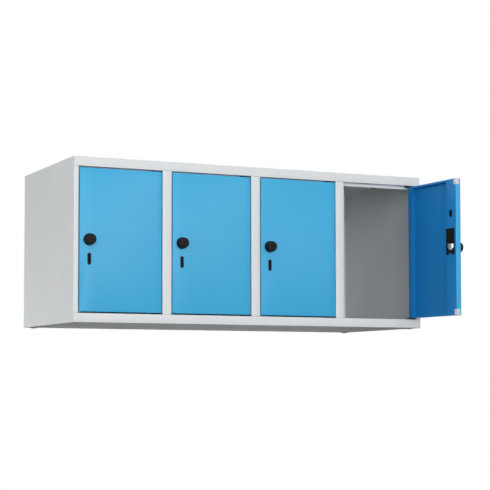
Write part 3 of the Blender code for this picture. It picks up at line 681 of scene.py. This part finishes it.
def floor_material():
    """Pale from above, and not there for rays from below or for light that bounces."""
    made = bpy.data.materials.new("pale_studio_floor")
    made.use_nodes = True
    tree = made.node_tree
    tree.nodes.clear()
    path = add_node(tree, "ShaderNodeLightPath")
    pale = add_node(tree, "ShaderNodeBsdfDiffuse", {"Color": linear(FLOOR_COLOUR)})
    lit = add_node(tree, "ShaderNodeAddShader", None,
                   {0: pale.outputs[0], 1: fading_glow(tree, path).outputs[0]})
    clear = add_node(tree, "ShaderNodeBsdfTransparent")
    facing = add_node(tree, "ShaderNodeNewGeometry")
    above = add_node(tree, "ShaderNodeMath", {"operation": "SUBTRACT", 0: 1.0},
                     {1: facing.outputs["Backfacing"]})
    shown = add_node(tree, "ShaderNodeMath", {"operation": "MULTIPLY"},
                     {0: above.outputs[0], 1: seen_or_mirrored(tree, path).outputs[0]})
    mix = add_node(tree, "ShaderNodeMixShader", None,
                   {0: shown.outputs[0], 1: clear.outputs[0], 2: lit.outputs[0]})
    add_node(tree, "ShaderNodeOutputMaterial", None, {"Surface": mix.outputs[0]})
    return made


print("floor colour:", FLOOR_COLOUR)

# %% [markdown]
# ## Ground under the feet
# One flat square is enough for the floor. It lies a hair under the feet, so that their undersides
# and the floor don't share a plane, and it is marked as stage, because it isn't part of the locker.

# %% Floor
FLOOR_DROP = 0.2 * MM
FLOOR_SIZE = 30.0

ground = bmesh.new()
bmesh.ops.create_grid(ground, x_segments=1, y_segments=1, size=FLOOR_SIZE / 2)
bmesh.ops.translate(ground, vec=(0, 0, CAD_LOW.z - FLOOR_DROP), verts=ground.verts)
floor_mesh = bpy.data.meshes.new("floor")
ground.to_mesh(floor_mesh)
ground.free()
floor = bpy.data.objects.new("floor", floor_mesh)
bpy.context.scene.collection.objects.link(floor)
floor_mesh.materials.append(floor_material())
floor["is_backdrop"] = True
print("floor:", FLOOR_SIZE, "m wide,", round(FLOOR_DROP / MM, 1), "mm under the feet")

# %% [markdown]
# ## Sky
# The sky is white to the camera and in reflections, as the walls of a white studio are. As light it
# is dim and slightly blue, strongest from above and fading to nothing straight below, so the
# underside and the inside stay darker and cooler than the front. Light Path tells the two apart, so
# the white ground costs the locker no contrast.

# %% White studio around the locker
SKY_BELOW, SKY_ABOVE = 0.0, 0.27
SKY_TINT = "edf7ff"


def studio_sky():
    """White where it is seen, and otherwise dim bluish light that fades towards below."""
    made = bpy.data.worlds.new("white_studio")
    made.use_nodes = True
    tree = made.node_tree
    tree.nodes.clear()
    path = add_node(tree, "ShaderNodeLightPath")
    seen = add_node(tree, "ShaderNodeMath", {"operation": "MAXIMUM"},
                    {0: seen_or_mirrored(tree, path).outputs[0],
                     1: path.outputs["Is Transmission Ray"]})
    place = add_node(tree, "ShaderNodeTexCoord")
    height = add_node(tree, "ShaderNodeSeparateXYZ", None, {0: place.outputs["Generated"]})
    sky = add_node(tree, "ShaderNodeMapRange",
                   {"From Min": -1.0, "From Max": 1.0, "To Min": SKY_BELOW, "To Max": SKY_ABOVE},
                   {"Value": height.outputs["Z"]})
    level = add_node(tree, "ShaderNodeMix", {"data_type": "FLOAT", 3: 1.0},
                     {0: seen.outputs[0], 2: sky.outputs["Result"]})
    tint = add_node(tree, "ShaderNodeMix",
                    {"data_type": "RGBA", 6: linear(SKY_TINT), 7: linear("ffffff")},
                    {0: seen.outputs[0]})
    back = add_node(tree, "ShaderNodeBackground", None,
                    {"Color": tint.outputs[2], "Strength": level.outputs[0]})
    add_node(tree, "ShaderNodeOutputWorld", None, {"Surface": back.outputs[0]})
    return made


bpy.context.scene.world = studio_sky()
bpy.context.scene.view_settings.view_transform = "Standard"
print("sky as light:", SKY_BELOW, "straight below to", SKY_ABOVE, "straight above")

# %% [markdown]
# ## Lamps
# Catalogue pictures of furniture are lit by very large softboxes in front, so that flat panels come
# out even and the inside still gets some light. A small one at the front left corner and one at the
# left lift the side panel to about four fifths of the front. Three more at the right, behind and
# above light the sides that the picture doesn't show. The powers of the front and left ones were
# fitted to the picture's grey levels, panel by panel.

# %% Lamps
LOOK_AT = (0, 0, 0.25)


def softbox(name, place, size, power):
    """An oblong area lamp that faces the middle of the locker, with its power in watts."""
    lamp = bpy.data.lights.new(name, "AREA")
    lamp.shape = "RECTANGLE"
    lamp.size, lamp.size_y = size
    lamp.energy = power
    made = bpy.data.objects.new(name, lamp)
    made.location = place
    made.rotation_euler = (Vector(LOOK_AT) - Vector(place)).to_track_quat("-Z", "Y").to_euler()
    bpy.context.scene.collection.objects.link(made)
    print(name, size[0], "x", size[1], "m,", power, "W")


softbox("upper_front_softbox", (-0.2, -4.7, 1.3), (5.0, 3.2), 112)
softbox("front_softbox", (-0.2, -4.7, 0.3), (5.0, 2.0), 80)
softbox("corner_softbox", (-3.4, -3.4, 0.6), (1.8, 2.0), 12)
softbox("left_softbox", (-4.6, -0.6, 0.6), (2.5, 1.1), 75)
softbox("right_softbox", (4.6, 0.6, 1.5), (2.4, 2.0), 65)
softbox("back_softbox", (0.8, 5.0, 0.0), (4.5, 1.0), 95)
softbox("top_softbox", (0.2, 1.0, 3.6), (3.6, 2.4), 70)

# %% [markdown]
# ## Camera
# A long lens from low on the left, nearly level: the locker's uprights stay almost upright. The
# lens is shifted a little, as on a product photographer's view camera, to keep the locker in the
# picture. Place and turn come from fitting the frame's straight edges to the picture, with the
# shift held small, because every other view of the locker keeps it.

# %% Camera
IMAGE_WIDTH = 490
FOCAL_PIXELS = 1520
SENSOR_WIDTH = 36.0
CAMERA_PLACE = (-2.0538, -4.5314, -0.1801)
YAW, PITCH = math.radians(24.31), math.radians(3.35)
SHIFT = (0.049, 0.100)

camera_data = bpy.data.cameras.new("camera")
camera_data.sensor_width = SENSOR_WIDTH
camera_data.lens = FOCAL_PIXELS / IMAGE_WIDTH * SENSOR_WIDTH
camera_data.shift_x, camera_data.shift_y = SHIFT
camera = bpy.data.objects.new("camera", camera_data)
camera.location = CAMERA_PLACE
look = Vector((math.sin(YAW) * math.cos(PITCH), math.cos(YAW) * math.cos(PITCH), math.sin(PITCH)))
camera.rotation_euler = look.to_track_quat("-Z", "Y").to_euler()
bpy.context.scene.collection.objects.link(camera)
bpy.context.scene.camera = camera
print("lens", round(camera_data.lens, 1), "mm, from", round(camera.location.length, 1), "m away")

# %% [markdown]
# ## Sizes
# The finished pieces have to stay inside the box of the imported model. Both boxes are measured and
# written down, so that a piece that has grown or slipped is seen at once.

# %% Sizes, and the last line
low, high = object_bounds()
print("shown model:", [round(side / MM, 1) for side in high - low], "mm")
